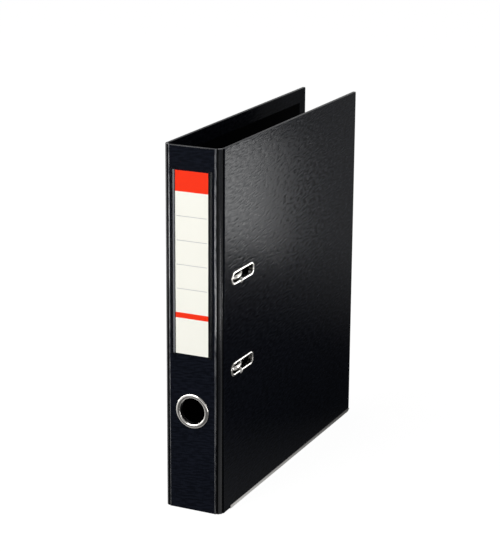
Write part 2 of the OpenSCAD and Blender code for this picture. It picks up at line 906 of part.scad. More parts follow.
// Lower half of the wire: arch, foot bend, axle, and half of the crank
module half_arch_wire() {
    crank_v = leg_v + crank_reach;
    axle_z = ring_z[0] + foot_bend;
    translate([0, 0, ring_z[0]]) arch();
    translate([axle_u + foot_bend, leg_v, axle_z]) rotate([90, 0, 0]) rotate(180) wire_bend(foot_bend);
    translate([axle_u, leg_v, axle_z]) cylinder(r = wire_r, h = crank_z[0] - crank_bend - axle_z);
    translate([axle_u, leg_v + crank_bend, crank_z[0] - crank_bend])
        rotate([90, 0, 90]) rotate(90) wire_bend(crank_bend);
    translate([axle_u, leg_v + crank_bend, crank_z[0]])
        rotate([-90, 0, 0]) cylinder(r = wire_r, h = crank_reach - 2 * crank_bend);
    translate([axle_u, crank_v - crank_bend, crank_z[0] + crank_bend])
        rotate([90, 0, 90]) rotate(-90) wire_bend(crank_bend);
    translate([axle_u, crank_v, crank_z[0] + crank_bend])
        cylinder(r = wire_r, h = ring_mid_z - crank_z[0] - crank_bend);
}

module arch_wire() {
    color("silver")
        at_mechanism() {
            half_arch_wire();
            translate([0, 0, 2 * ring_mid_z]) mirror([0, 0, 1]) half_arch_wire();
        }
}

// ---------------------------------------------------------------- lever

// Point on the lever's curved back: r is its distance from the centre of the curve
function back_point(r, a) = [lever_straight + r * sin(a), lever_rise + lever_curve - r * cos(a)];

function back_arc(r, a0, a1, steps) =
    [for (i = [0:steps]) back_point(r, a0 + (a1 - a0) * i / steps)];

// Lever's side view: forwards from the pin is x, away from the base plate is y
module lever_back_side() {
    polygon(concat(
        [[-boss_r, lever_rise - lever_t], [-boss_r, lever_rise]],
        back_arc(lever_curve, 0, lever_sweep, 12),
        back_arc(lever_curve + lever_t, lever_sweep, 0, 12)
    ));
}

module lever_cheek_side() {
    low_u = -roller_drop;
    difference() {
        union() {
            circle(boss_r);
            translate([roller_ahead, low_u]) circle(roller_boss_r);
            polygon(concat(
                [
                    [-boss_r, 0], [-boss_r, lever_rise - lever_t / 2],
                    [lever_straight, lever_rise - lever_t / 2]
                ],
                back_arc(lever_curve + lever_t / 2, cheek_from, cheek_to, 6),
                [
                    [roller_ahead + cheek_ahead, cheek_low], [roller_ahead + roller_boss_r, low_u],
                    [roller_ahead, low_u - roller_boss_r], [roller_ahead - roller_boss_r, low_u],
                    [0, -boss_r]
                ]
            ));
        }
        circle(pin_r + axle_fit);
        translate([roller_ahead, low_u]) circle(pin_r + seat_fit);
    }
}

// Turns the side view into place: x to +Z, y to +X, thickness from v0 along +Y
module at_lever(v0) {
    at_mechanism()
        translate([pin_u, lever_v + v0, pin_z]) rotate([-90, -90, 0]) children();
}

module lever_channel() {
    color("silver") {
        at_lever(-lever_w / 2) linear_extrude(lever_w) lever_back_side();
        for (side = [-1, 1])
            at_lever(side * (lever_w - lever_t) / 2 - lever_t / 2) linear_extrude(lever_t) lever_cheek_side();
    }
}

// Moulded grip over the lever's end
module lever_grip() {
    start = lever_sweep - grip_angle;
    end = lever_sweep + grip_over;
    over_r = lever_curve - grip_t;
    under_r = lever_curve + lever_t + grip_t;
    color("#202022")
        difference() {
            at_lever(-grip_w / 2)
                linear_extrude(grip_w)
                    polygon(concat(
                        [back_point(under_r - grip_end_t, start), back_point(over_r + grip_end_t, start)],
                        back_arc(over_r, start + 1, end - 1, 8),
                        [back_point(over_r + grip_end_t, end), back_point(under_r - grip_end_t, end)],
                        back_arc(under_r, end - 1, start + 1, 8)
                    ));
            at_lever(-lever_w / 2 - seat_fit)
                linear_extrude(lever_w + 2 * seat_fit)
                    polygon(concat(
                        back_arc(lever_curve - seat_fit, start - 1, lever_sweep + 0.1, 8),
                        back_arc(lever_curve + lever_t + seat_fit, lever_sweep + 0.1, start - 1, 8)
                    ));
        }
}

module at_roller() {
    at_mechanism()
        translate([roller_u, lever_v, pin_z + roller_ahead]) rotate([-90, 0, 0]) children();
}

module roller_pin() {
    reach = lever_w / 2;
    color("silver")
        at_roller() {
            translate([0, 0, -reach]) cylinder(r = pin_r, h = 2 * reach);
            for (side = [0, 1])
                mirror([0, 0, side])
                    translate([0, 0, reach])
                        cylinder(r1 = roller_head_r, r2 = roller_head_r - head_taper, h = roller_head_h);
        }
}

module cam_roller() {
    roller_w = lever_w - 2 * lever_t - 2 * roller_side;
    edge_r = roller_r - roller_chamfer;
    edge_w = roller_w / 2 - roller_chamfer;
    bore = pin_r + axle_fit;
    color("whitesmoke")
        at_roller()
            rotate_extrude()
                polygon([
                    [bore, -roller_w / 2], [edge_r, -roller_w / 2], [roller_r, -edge_w],
                    [roller_r, edge_w], [edge_r, roller_w / 2], [bore, roller_w / 2]
                ]);
}

// ---------------------------------------------------------------- compressor bar

bush_r = wire_r + clip_fit + clip_wall;

module compressor_bar() {
    bar_len = ring_pitch + 2 * bar_over;
    edge_len = bar_len - 2 * bar_edge_in;
    color("silver")
        at_mechanism()
            translate([bar_rest, post_v, ring_mid_z])
                rotate([90, 0, 90])
                    difference() {
                        union() {
                            linear_extrude(bar_t) round_rect(bar_w, bar_len, bar_corner);
                            for (side = [-1, 1])
                                translate([side * (bar_w - bar_t) / 2 - bar_t / 2, -edge_len / 2, 0])
                                    cube([bar_t, edge_len, bar_t + bar_edge]);
                        }
                        for (side = [-1, 1])
                            translate([0, side * ring_pitch / 2, -1])
                                cylinder(r = bush_r + seat_fit, h = bar_t + 2);
                    }
}

// Snap-in bush that runs on a post, with a thumb tab towards the middle of the bar
module compressor_clip(side) {
    difference() {
        union() {
            translate([0, 0, -lip_h]) cylinder(r = bush_r + lip_w, h = lip_h - seat_fit);
            translate([0, 0, -lip_h]) cylinder(r = bush_r, h = lip_h + bar_t + clip_head_h);
            translate([0, 0, bar_t + seat_fit]) cylinder(r = bar_w / 2 - bar_t - lip_w, h = clip_head_h);
            translate([-tab_w / 2, side > 0 ? -tab_len : 0, bar_t + seat_fit])
                cube([tab_w, tab_len, clip_head_h]);
        }
        translate([0, 0, -lip_h - 1]) cylinder(r = wire_r + clip_fit, h = lip_h + bar_t + clip_head_h + 3);
    }
}

module compressor_clips() {
    color("#202022")
        at_mechanism()
            for (side = [-1, 1])
                translate([bar_rest, post_v, ring_mid_z + side * ring_pitch / 2])
                    rotate([90, 0, 90]) compressor_clip(side);
}

back_board();
back_outer_skin();
back_lining();
back_bottom_rail();
base_plate();
ring_posts();
mechanism_rivets();
lever_pin();
arch_spring();
back_hinge_board();
back_hinge_skin();
back_hinge_lining();
spine_board();
spine_outer_skin();
spine_lining();
finger_ring_outer();
finger_ring_inner();
label_pocket();
label_card();
front_hinge_board();
front_hinge_skin();
front_hinge_lining();
front_board();
front_outer_skin();
front_lining();
front_bottom_rail();
slot_eyelets_outer();
slot_eyelets_inner();
arch_wire();
lever_channel();
lever_grip();
roller_pin();
cam_roller();
compressor_bar();
compressor_clips();
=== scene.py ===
import json
import math

import bmesh
import bpy
from bpy.props import FloatProperty, FloatVectorProperty, IntProperty, PointerProperty
from mathutils import Matrix, Vector


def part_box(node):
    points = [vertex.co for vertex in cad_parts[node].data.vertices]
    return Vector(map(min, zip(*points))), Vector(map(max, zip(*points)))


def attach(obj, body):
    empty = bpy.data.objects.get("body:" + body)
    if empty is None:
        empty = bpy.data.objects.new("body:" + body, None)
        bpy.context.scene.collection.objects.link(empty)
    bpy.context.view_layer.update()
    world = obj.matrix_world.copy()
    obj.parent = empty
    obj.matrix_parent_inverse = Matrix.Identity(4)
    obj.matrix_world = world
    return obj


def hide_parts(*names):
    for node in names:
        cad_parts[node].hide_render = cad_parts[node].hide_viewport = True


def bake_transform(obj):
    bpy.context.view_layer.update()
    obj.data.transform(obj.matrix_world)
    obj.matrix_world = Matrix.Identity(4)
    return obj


bl_info = {
    "name": "Lever arch binder finish",
    "version": (1, 0, 0),
    "blender": (4, 5, 0),
    "location": "3D View > Sidebar > Binder",
    "description": "Films, plating, label and wire work of a lever arch binder",
    "category": "Object",
}

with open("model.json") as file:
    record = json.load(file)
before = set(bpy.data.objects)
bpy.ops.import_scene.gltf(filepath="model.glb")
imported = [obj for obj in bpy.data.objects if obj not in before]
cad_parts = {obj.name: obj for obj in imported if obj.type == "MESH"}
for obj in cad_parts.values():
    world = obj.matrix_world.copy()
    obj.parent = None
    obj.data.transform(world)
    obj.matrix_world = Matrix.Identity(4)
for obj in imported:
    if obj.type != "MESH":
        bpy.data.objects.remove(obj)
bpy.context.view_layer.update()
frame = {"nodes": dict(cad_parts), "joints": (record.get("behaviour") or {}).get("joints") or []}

MM = 0.001
NODES = frame["nodes"]
SPINE_LOW, SPINE_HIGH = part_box("spine_outer_skin")
CARD_LOW, CARD_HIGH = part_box("label_card")

# Half a panel's thickness over film, board and lining, and the gap at each fold line
HALF = 1.25 * MM
FOLD_GAP = 0.4 * MM

# Each panel's body and the CAD node of its outer film
PANELS = {
    "back_cover": "back_outer_skin",
    "back_hinge": "back_hinge_skin",
    "spine": "spine_outer_skin",
    "front_hinge": "front_hinge_skin",
    "front_cover": "front_outer_skin",
}

# Each fold's joint, with the body on its spine side and the body on its cover side
FOLDS = (
    ("back_fold_at_cover", "back_hinge", "back_cover"),
    ("back_fold_at_spine", "spine", "back_hinge"),
    ("front_fold_at_spine", "spine", "front_hinge"),
    ("front_fold_at_cover", "front_hinge", "front_cover"),
)

NEAR = 0.02 * MM  # closer than this counts as touching
FILM_IOR = 1.49  # polypropylene
WHITE = (1.0, 1.0, 1.0)


def joint_place(name):
    """Where the packed joint of that name sits."""
    return Vector(next(j["pos_m"] for j in frame["joints"] if j["name"] == name))


def hex_linear(text):
    """Linear red, green and blue of an sRGB hex colour."""
    parts = [int(text[i:i + 2], 16) / 255 for i in (1, 3, 5)]
    return tuple(c / 12.92 if c <= 0.04045 else ((c + 0.055) / 1.055) ** 2.4 for c in parts)


def scaled(colour, share):
    """A colour made darker or lighter by a share."""
    return tuple(c * share for c in colour)


def set_inputs(tree, node, inputs):
    """Sets or links a node's inputs, by name, or by number where names repeat."""
    for key, value in inputs.items():
        socket = node.inputs[key]
        if isinstance(value, bpy.types.NodeSocket):
            tree.links.new(value, socket)
        elif socket.type == "RGBA":
            socket.default_value = (*value, 1)
        else:
            socket.default_value = value


def add_node(tree, kind, inputs=None, **settings):
    """Adds a node, sets its properties, and sets or links its inputs."""
    node = tree.nodes.new(kind)
    for name, value in settings.items():
        setattr(node, name, value)
    set_inputs(tree, node, inputs or {})
    return node


def new_material(name):
    """A material with an empty tree and a Principled shader at its output."""
    material = bpy.data.materials.new(name)
    material.use_nodes = True
    tree = material.node_tree
    tree.nodes.clear()
    shader = add_node(tree, "ShaderNodeBsdfPrincipled")
    add_node(tree, "ShaderNodeOutputMaterial", {"Surface": shader.outputs[0]})
    return material, tree, shader


# ---------------------------------------------------------------- settings


def colour_property(name, description, text):
    """A colour setting whose default is an sRGB hex colour."""
    return FloatVectorProperty(
        name=name, description=description, subtype="COLOR", default=hex_linear(text),
        min=0, max=1)


class FilmSettings(bpy.types.PropertyGroup):
    """Films of the case"""

    colour: colour_property("Film colour", "Colour of the outer film", "#0c0e14")
    lining_colour: colour_property("Lining colour", "Colour of the inner lining", "#060608")
    roughness: FloatProperty(
        name="Roughness", description="Roughness of the outer film", default=0.19, min=0, max=1)
    gloss: FloatProperty(
        name="Gloss", description="Specular level of the outer film", default=0.011, min=0, max=1)
    thread: FloatProperty(
        name="Thread spacing", description="Spacing of the embossed threads in millimetres",
        default=1.4, min=0.2, max=4)
    relief: FloatProperty(
        name="Relief", description="Depth of the embossed threads in millimetres",
        default=0.14, min=0, max=1)
    edge: FloatProperty(
        name="Edge radius", description="Radius of the film where it wraps the board",
        default=0.45 * MM, unit="LENGTH")
    crease_depth: FloatProperty(
        name="Crease depth", description="Depth of the pressed creases",
        default=0.95 * MM, unit="LENGTH")


class LabelSettings(bpy.types.PropertyGroup):
    """Print on the insert card"""

    band_colour: colour_property("Band colour", "Colour of the two printed bands", "#fb3310")
    card_colour: colour_property("Card colour", "Colour of the bare card", "#fdfcf2")
    rule_colour: colour_property("Rule colour", "Colour of the printed rules", "#bdbdbd")
    band_top: FloatProperty(
        name="Head band", description="Height of the head band",
        default=17.6 * MM, unit="LENGTH")
    cell: FloatProperty(
        name="Cell height", description="Spacing of the rules", default=20.7 * MM, unit="LENGTH")
    cells: IntProperty(name="Cells", description="Number of ruled cells", default=5, min=1, max=9)
    stripe: FloatProperty(
        name="Stripe", description="Height of the lower stripe",
        default=4.7 * MM, unit="LENGTH")


class MetalSettings(bpy.types.PropertyGroup):
    """Plated metal"""

    colour: colour_property("Plate colour", "Colour of the nickel plate", "#e6e3de")
    roughness: FloatProperty(
        name="Roughness", description="Roughness of the plate", default=0.12, min=0, max=1)


class SpringSettings(bpy.types.PropertyGroup):
    """Torsion spring on the arch wire's axle"""

    turns: IntProperty(name="Turns", description="Turns of the spring", default=4, min=1, max=8)
    wire: FloatProperty(
        name="Wire", description="Radius of the spring's wire", default=0.45 * MM, unit="LENGTH")
    sides: IntProperty(name="Sides", description="Sides of the wire", default=12, min=3, max=32)


class GripSettings(bpy.types.PropertyGroup):
    """Thumb ribs on the lever's grip"""

    count: IntProperty(name="Ribs", description="Number of thumb ribs", default=7, min=2, max=20)
    radius: FloatProperty(
        name="Rib radius", description="Radius of a rib", default=0.4 * MM, unit="LENGTH")


class StageSettings(bpy.types.PropertyGroup):
    """Floor, lamps and camera"""

    key: FloatProperty(
        name="Key lamp", description="Power of the key lamp in watts", default=53.0, min=0)
    glow: FloatProperty(
        name="Cover lamp", description="Power of the low lamp beside the cover in watts",
        default=0.118, min=0)
    strips: FloatProperty(
        name="Strip lamps", description="Power the two strip lamps take their shares of, in watts",
        default=6.0, min=0)
    ambient: FloatProperty(
        name="Room light", description="Strength of the room's light", default=0.34, min=0)


SETTINGS = {
    "binder_film": FilmSettings,
    "binder_label": LabelSettings,
    "binder_metal": MetalSettings,
    "binder_spring": SpringSettings,
    "binder_grip": GripSettings,
    "binder_stage": StageSettings,
}


# ---------------------------------------------------------------- materials


def panel_coordinates(tree):
    """Distance along a panel, and height, in millimetres, whichever way the panel faces."""
    place = add_node(tree, "ShaderNodeTexCoord").outputs["Object"]
    parts = add_node(tree, "ShaderNodeSeparateXYZ", {0: place}).outputs
    level = add_node(
        tree, "ShaderNodeMath", {0: parts[0], 1: parts[1]}, operation="ADD").outputs[0]
    along, up = (
        add_node(tree, "ShaderNodeMath", {0: part, 1: 1 / MM}, operation="MULTIPLY").outputs[0]
        for part in (level, parts[2]))
    return along, up


def thread_noise(tree, along, up, length, width):
    """Short threads: noise stretched to length along a panel and width up it, in millimetres."""
    across, climb = (
        add_node(tree, "ShaderNodeMath", {0: way, 1: size}, operation="DIVIDE").outputs[0]
        for way, size in ((along, length), (up, width)))
    vector = add_node(tree, "ShaderNodeCombineXYZ", {0: across, 1: climb}).outputs[0]
    return add_node(tree, "ShaderNodeTexNoise", {
        "Vector": vector, "Scale": 1.0, "Detail": 0.0}).outputs[0]


def band_mask(tree, height, low, high):
    """1 between two heights, else 0."""
    over = add_node(tree, "ShaderNodeMath", {0: height, 1: low}, operation="GREATER_THAN")
    under = add_node(tree, "ShaderNodeMath", {0: height, 1: high}, operation="LESS_THAN")
    return add_node(tree, "ShaderNodeMath", {
        0: over.outputs[0], 1: under.outputs[0]}, operation="MULTIPLY").outputs[0]


def embossed_polypropylene(name="embossed_polypropylene_film", gloss_share=1.0):
    """Calendered polypropylene film, black, embossed with a linen weave.

    The weave breaks its soft gloss into short horizontal glints. The real threads are
    about 0.5 mm apart, drawn at nearly three times that so that they show. The black is a
    little blue, and so is its gloss."""
    film = bpy.context.scene.binder_film
    material, tree, shader = new_material(name)
    along, up = panel_coordinates(tree)
    # The weft climbs a little along the panel, as the film is laid
    climb = 0.09
    climbing = add_node(tree, "ShaderNodeMath", {
        0: along, 1: -climb, 2: up}, operation="MULTIPLY_ADD").outputs[0]
    weft = thread_noise(tree, along, climbing, length=film.thread * 5, width=film.thread)
    warp = thread_noise(tree, along, up, length=film.thread * 0.9, width=film.thread * 3)
    warp_share = 0.2
    relief = add_node(tree, "ShaderNodeMix", {0: warp_share, 2: weft, 3: warp}).outputs[0]
    bump = add_node(tree, "ShaderNodeBump", {
        "Height": relief, "Strength": 1.0, "Distance": film.relief * MM})
    # Faint clouds some 40 mm across, and paler film on the threads that stand highest
    cloudy = thread_noise(tree, along, up, length=45, width=38)
    shade = add_node(tree, "ShaderNodeMix", {
        0: cloudy, 6: scaled(film.colour, 0.8), 7: scaled(film.colour, 1.2)}, data_type="RGBA")
    paler_high_threads = add_node(tree, "ShaderNodeMapRange", {
        "Value": relief, "From Min": 0.4, "From Max": 0.62, "To Min": 0.0, "To Max": 0.45})
    shade = add_node(tree, "ShaderNodeMix", {
        0: paler_high_threads.outputs[0], 6: shade.outputs[2], 7: scaled(film.colour, 2.6)}, data_type="RGBA")
    # High threads are the dullest, and the mean stays at the film's roughness
    spread = 0.36
    rough = add_node(tree, "ShaderNodeMath", {
        0: relief, 1: spread, 2: film.roughness - spread / 2}, operation="MULTIPLY_ADD")
    set_inputs(tree, shader, {
        "Base Color": shade.outputs[2], "Roughness": rough.outputs[0], "Normal": bump.outputs[0],
        "IOR": FILM_IOR, "Specular IOR Level": film.gloss * gloss_share,
        "Specular Tint": (0.86, 0.93, 1.0)})
    return material


def pressed_polypropylene():
    """The same film where heat has pressed its weave flat: glossier along creases and edges."""
    film = bpy.context.scene.binder_film
    material, tree, shader = new_material("pressed_polypropylene_edge")
    wander = thread_noise(tree, *panel_coordinates(tree), length=3.0, width=9.0)
    shade = add_node(tree, "ShaderNodeMix", {
        0: wander, 6: scaled(film.colour, 0.7), 7: film.colour}, data_type="RGBA")
    rough = add_node(tree, "ShaderNodeMapRange", {
        "Value": wander, "To Min": 0.2, "To Max": 0.34})
    set_inputs(tree, shader, {
        "Base Color": shade.outputs[2], "Roughness": rough.outputs[0],
        "IOR": FILM_IOR, "Specular IOR Level": 0.5})
    return material


def creased_polypropylene():
    """The film sunk in a groove, where dust and its own folds keep it matt; its dark colour is
    painted shade.
    """
    material, tree, shader = new_material("groove_film_painted_shade")
    wander = thread_noise(tree, *panel_coordinates(tree), length=3.0, width=9.0)
    # Darker than the film: painted shade in the groove
    shade = add_node(tree, "ShaderNodeMix", {
        0: wander, 6: hex_linear("#020203"), 7: hex_linear("#060708")}, data_type="RGBA")
    set_inputs(tree, shader, {
        "Base Color": shade.outputs[2], "Roughness": 0.6,
        "IOR": FILM_IOR, "Specular IOR Level": 0.05})
    return material


def ironed_polypropylene():
    """The film ironed over the shoulder of the spine: the glossiest line on the case, with a
    painted highlight in its colour.
    """
    film = bpy.context.scene.binder_film
    material, tree, shader = new_material("ironed_shoulder_painted_highlight")
    wander = thread_noise(tree, *panel_coordinates(tree), length=2.0, width=7.0)
    # Lighter than the film and flecked pale: a painted highlight along the shoulder
    painted_highlight_specks = add_node(tree, "ShaderNodeMapRange", {
        "Value": wander, "From Min": 0.35, "From Max": 0.65})
    shade = add_node(tree, "ShaderNodeMix", {
        0: painted_highlight_specks.outputs[0], 6: scaled(film.colour, 4), 7: hex_linear("#66676a")},
        data_type="RGBA")
    rough = add_node(tree, "ShaderNodeMapRange", {
        "Value": wander, "To Min": 0.16, "To Max": 0.3})
    set_inputs(tree, shader, {
        "Base Color": shade.outputs[2], "Roughness": rough.outputs[0],
        "IOR": FILM_IOR, "Specular IOR Level": 0.9, "Coat Weight": 1.0, "Coat Roughness": 0.2})
    return material


def lining_film():
    """Thin polypropylene lining, black, calendered on a 0.7 mm grain: an even soft sheen."""
    film = bpy.context.scene.binder_film
    material, tree, shader = new_material("lining_film")
    along, up = panel_coordinates(tree)
    grain = thread_noise(tree, along, up, length=0.7, width=0.7)
    bump = add_node(tree, "ShaderNodeBump", {
        "Height": grain, "Strength": 0.5, "Distance": 0.02 * MM})
    clouds = thread_noise(tree, along, up, length=60, width=60)
    shade = add_node(tree, "ShaderNodeMix", {
        0: clouds, 6: scaled(film.lining_colour, 0.8), 7: film.lining_colour}, data_type="RGBA")
    set_inputs(tree, shader, {
        "Base Color": shade.outputs[2], "Roughness": 0.6, "Normal": bump.outputs[0],
        "IOR": FILM_IOR, "Specular IOR Level": 0.001})
    return material


def greyboard():
    """Recycled greyboard: matt, flecked with fibres about 2.5 mm long."""
    material, tree, shader = new_material("greyboard")
    along, up = panel_coordinates(tree)
    fibres = thread_noise(tree, along, up, length=2.5, width=0.6)
    fleck = thread_noise(tree, along, up, length=0.5, width=0.5)
    shade = add_node(tree, "ShaderNodeMix", {
        0: fibres, 6: hex_linear("#7d7872"), 7: hex_linear("#a39d95")}, data_type="RGBA")
    bump = add_node(tree, "ShaderNodeBump", {
        "Height": fleck, "Strength": 0.6, "Distance": 0.05 * MM})
    set_inputs(tree, shader, {
        "Base Color": shade.outputs[2], "Roughness": 0.9, "Normal": bump.outputs[0]})
    return material


def plated(name, roughness, streak, length, tone=None):
    """Nickel-plated steel that keeps faint lines, of that width and length in millimetres."""
    tone = tone or bpy.context.scene.binder_metal.colour
    material, tree, shader = new_material(name)
    place = add_node(tree, "ShaderNodeTexCoord").outputs["Object"]
    stretch = add_node(tree, "ShaderNodeMapping", {
        "Vector": place, "Scale": (1 / (streak * MM), 1 / (streak * MM), 1 / (length * MM))})
    lines = add_node(tree, "ShaderNodeTexNoise", {
        "Vector": stretch.outputs[0], "Scale": 1.0, "Detail": 2.0}).outputs[0]
    rough = add_node(tree, "ShaderNodeMapRange", {
        "Value": lines, "To Min": roughness * 0.7, "To Max": roughness * 1.4})
    bump = add_node(tree, "ShaderNodeBump", {
        "Height": lines, "Strength": 0.15, "Distance": 0.01 * MM})
    shade = add_node(tree, "ShaderNodeMix", {
        0: lines, 6: scaled(tone, 0.92), 7: tone}, data_type="RGBA")
    set_inputs(tree, shader, {
        "Base Color": shade.outputs[2], "Metallic": 1.0, "Roughness": rough.outputs[0],
        "Normal": bump.outputs[0]})
    return material


def spring_steel():
    """Oiled spring steel wire: darker and rougher than the plated parts, streaked at 0.4 mm."""
    material, tree, shader = new_material("oiled_spring_steel")
    place = add_node(tree, "ShaderNodeTexCoord").outputs["Object"]
    lines = add_node(tree, "ShaderNodeTexNoise", {
        "Vector": place, "Scale": 1 / (0.4 * MM), "Detail": 2.0}).outputs[0]
    shade = add_node(tree, "ShaderNodeMix", {
        0: lines, 6: hex_linear("#6f7072"), 7: hex_linear("#8f8f90")}, data_type="RGBA")
    rough = add_node(tree, "ShaderNodeMapRange", {
        "Value": lines, "To Min": 0.25, "To Max": 0.42})
    set_inputs(tree, shader, {
        "Base Color": shade.outputs[2], "Metallic": 1.0, "Roughness": rough.outputs[0]})
    return material


def moulded_plastic(name, colour, roughness):
    """Moulded plastic with a faint spark-eroded grain of about 0.4 mm."""
    material, tree, shader = new_material(name)
    place = add_node(tree, "ShaderNodeTexCoord").outputs["Object"]
    grain = add_node(tree, "ShaderNodeTexNoise", {
        "Vector": place, "Scale": 1 / (0.4 * MM), "Detail": 2.0}).outputs[0]
    shade = add_node(tree, "ShaderNodeMix", {
        0: grain, 6: scaled(colour, 0.85), 7: colour}, data_type="RGBA")
    bump = add_node(tree, "ShaderNodeBump", {
        "Height": grain, "Strength": 0.3, "Distance": 0.02 * MM})
    set_inputs(tree, shader, {
        "Base Color": shade.outputs[2], "Roughness": roughness, "Normal": bump.outputs[0],
        "IOR": 1.52})
    return material


def clear_film():
    """Clear soft film of the label pocket: unseen face on, milky along the folds at its sides."""
    material, tree, shader = new_material("clear_pocket_film")
    facing = add_node(tree, "ShaderNodeLayerWeight", {"Blend": 0.3}).outputs["Facing"]
    veil = add_node(tree, "ShaderNodeMapRange", {
        "Value": facing, "From Min": 0.15, "From Max": 0.9, "To Min": 0.02, "To Max": 0.7})
    place = add_node(tree, "ShaderNodeTexCoord").outputs["Object"]
    parts = add_node(tree, "ShaderNodeSeparateXYZ", {0: place}).outputs
    across = add_node(tree, "ShaderNodeMath", {0: parts[0]}, operation="ABSOLUTE").outputs[0]
    # The film is doubled beside the card, and its fold on the left is painted pale as a highlight
    beside = add_node(tree, "ShaderNodeMath", {
        0: across, 1: CARD_HIGH.x + 0.1 * MM}, operation="GREATER_THAN").outputs[0]
    doubled = band_mask(tree, across, CARD_HIGH.x + 0.5 * MM, CARD_HIGH.x + 2.2 * MM)
    tall = band_mask(tree, parts[2], CARD_LOW.z, CARD_HIGH.z + 0.5 * MM)
    left = add_node(tree, "ShaderNodeMath", {
        0: parts[0], 1: 0.0}, operation="LESS_THAN").outputs[0]
    fold = add_node(tree, "ShaderNodeMath", {
        0: doubled, 1: tall}, operation="MULTIPLY").outputs[0]
    fold = add_node(tree, "ShaderNodeMath", {0: fold, 1: left}, operation="MULTIPLY").outputs[0]
    # It casts no shadow on the card
    shadow = add_node(tree, "ShaderNodeLightPath").outputs["Is Shadow Ray"]
    lit = add_node(tree, "ShaderNodeMath", {0: 1.0, 1: shadow}, operation="SUBTRACT").outputs[0]
    milky = add_node(tree, "ShaderNodeMath", {
        0: beside, 1: 0.55}, operation="MULTIPLY").outputs[0]
    cover = add_node(tree, "ShaderNodeMath", {
        0: veil.outputs[0], 1: milky}, operation="MAXIMUM").outputs[0]
    alpha = add_node(tree, "ShaderNodeMath", {0: cover, 1: lit}, operation="MULTIPLY").outputs[0]
    # Ripples about 17 mm across
    ripple = add_node(tree, "ShaderNodeTexNoise", {
        "Vector": place, "Scale": 60.0, "Detail": 1.0}).outputs[0]
    bump = add_node(tree, "ShaderNodeBump", {
        "Height": ripple, "Strength": 0.4, "Distance": 0.4 * MM})
    tint = add_node(tree, "ShaderNodeMix", {
        0: ripple, 6: hex_linear("#060608"), 7: hex_linear("#101114")}, data_type="RGBA")
    # The pale left fold is a painted highlight
    tint = add_node(tree, "ShaderNodeMix", {
        0: fold, 6: tint.outputs[2], 7: hex_linear("#77787c")}, data_type="RGBA")
    set_inputs(tree, shader, {
        "Base Color": tint.outputs[2], "Roughness": 0.2, "Alpha": alpha,
        "Normal": bump.outputs[0], "IOR": FILM_IOR, "Specular IOR Level": 0.15})
    return material


def printed_card():
    """White uncoated card, matt, with a head band, ruled cells and a stripe, bare below it."""
    label = bpy.context.scene.binder_label
    material, tree, shader = new_material("printed_card")
    place = add_node(tree, "ShaderNodeTexCoord").outputs["Object"]
    parts = add_node(tree, "ShaderNodeSeparateXYZ", {0: place}).outputs
    across, height = parts[0], parts[2]
    head_low = CARD_HIGH.z - label.band_top
    stripe_high = head_low - label.cells * label.cell
    head = band_mask(tree, height, head_low, CARD_HIGH.z + MM)
    stripe = band_mask(tree, height, stripe_high - label.stripe, stripe_high)
    bands = add_node(tree, "ShaderNodeMath", {
        0: head, 1: stripe}, operation="ADD", use_clamp=True).outputs[0]
    # A rule at each multiple of the cell height, inset from the card's sides
    half_rule, inset, end_gap = 0.25 * MM, 1.2 * MM, 2 * MM
    above = add_node(tree, "ShaderNodeMath", {
        0: height, 1: stripe_high}, operation="SUBTRACT").outputs[0]
    near = add_node(tree, "ShaderNodeMath", {
        0: above, 1: label.cell / 2}, operation="PINGPONG").outputs[0]
    aside = add_node(tree, "ShaderNodeMath", {0: across}, operation="ABSOLUTE").outputs[0]
    ruled = band_mask(tree, height, stripe_high + end_gap, head_low - end_gap)
    for distance, limit in ((near, half_rule), (aside, CARD_HIGH.x - inset)):
        within = add_node(tree, "ShaderNodeMath", {
            0: distance, 1: limit}, operation="LESS_THAN").outputs[0]
        ruled = add_node(tree, "ShaderNodeMath", {
            0: ruled, 1: within}, operation="MULTIPLY").outputs[0]
    fibres = add_node(tree, "ShaderNodeTexNoise", {
        "Vector": place, "Scale": 1 / (0.8 * MM), "Detail": 3.0}).outputs[0]
    printed = add_node(tree, "ShaderNodeMix", {
        0: fibres, 6: scaled(label.card_colour, 0.97), 7: label.card_colour}, data_type="RGBA")
    for mask, ink in ((ruled, label.rule_colour), (bands, label.band_colour)):
        printed = add_node(tree, "ShaderNodeMix", {
            0: mask, 6: printed.outputs[2], 7: ink}, data_type="RGBA")
    bump = add_node(tree, "ShaderNodeBump", {
        "Height": fibres, "Strength": 0.2, "Distance": 0.02 * MM})
    set_inputs(tree, shader, {
        "Base Color": printed.outputs[2], "Roughness": 0.6, "Normal": bump.outputs[0],
        "Specular IOR Level": 0.15})
    return material


# ---------------------------------------------------------------- pieces


def dress(node_names, material):
    """Gives a material to CAD nodes."""
    for name in node_names:
        slots = NODES[name].data.materials
        slots.clear()
        slots.append(material)


def mesh_object(name, vertices, faces, materials, smooth=False):
    """An object of the given faces, its normals turned outwards."""
    mesh = bpy.data.meshes.new(name)
    mesh.from_pydata([tuple(v) for v in vertices], [], faces)
    mesh.validate()
    work = bmesh.new()
    work.from_mesh(mesh)
    bmesh.ops.recalc_face_normals(work, faces=work.faces)
    for face in work.faces:
        face.smooth = smooth
    write_mesh(mesh, work, materials)
    return scene_object(name, mesh)


def write_mesh(mesh, work, materials):
    """Writes a bmesh and its materials to a mesh, and frees the bmesh."""
    work.to_mesh(mesh)
    work.free()
    for material in materials:
        mesh.materials.append(material)


def scene_object(name, data):
    """An object of the given data, in the scene."""
    thing = bpy.data.objects.new(name, data)
    bpy.context.scene.collection.objects.link(thing)
    return thing


def finished_piece(name, mesh, body, *nodes):
    """Makes a piece of a mesh, lets it ride on a body and stand for its CAD nodes."""
    piece = scene_object(name, mesh)
    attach(piece, body)
    if nodes:
        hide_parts(*nodes)


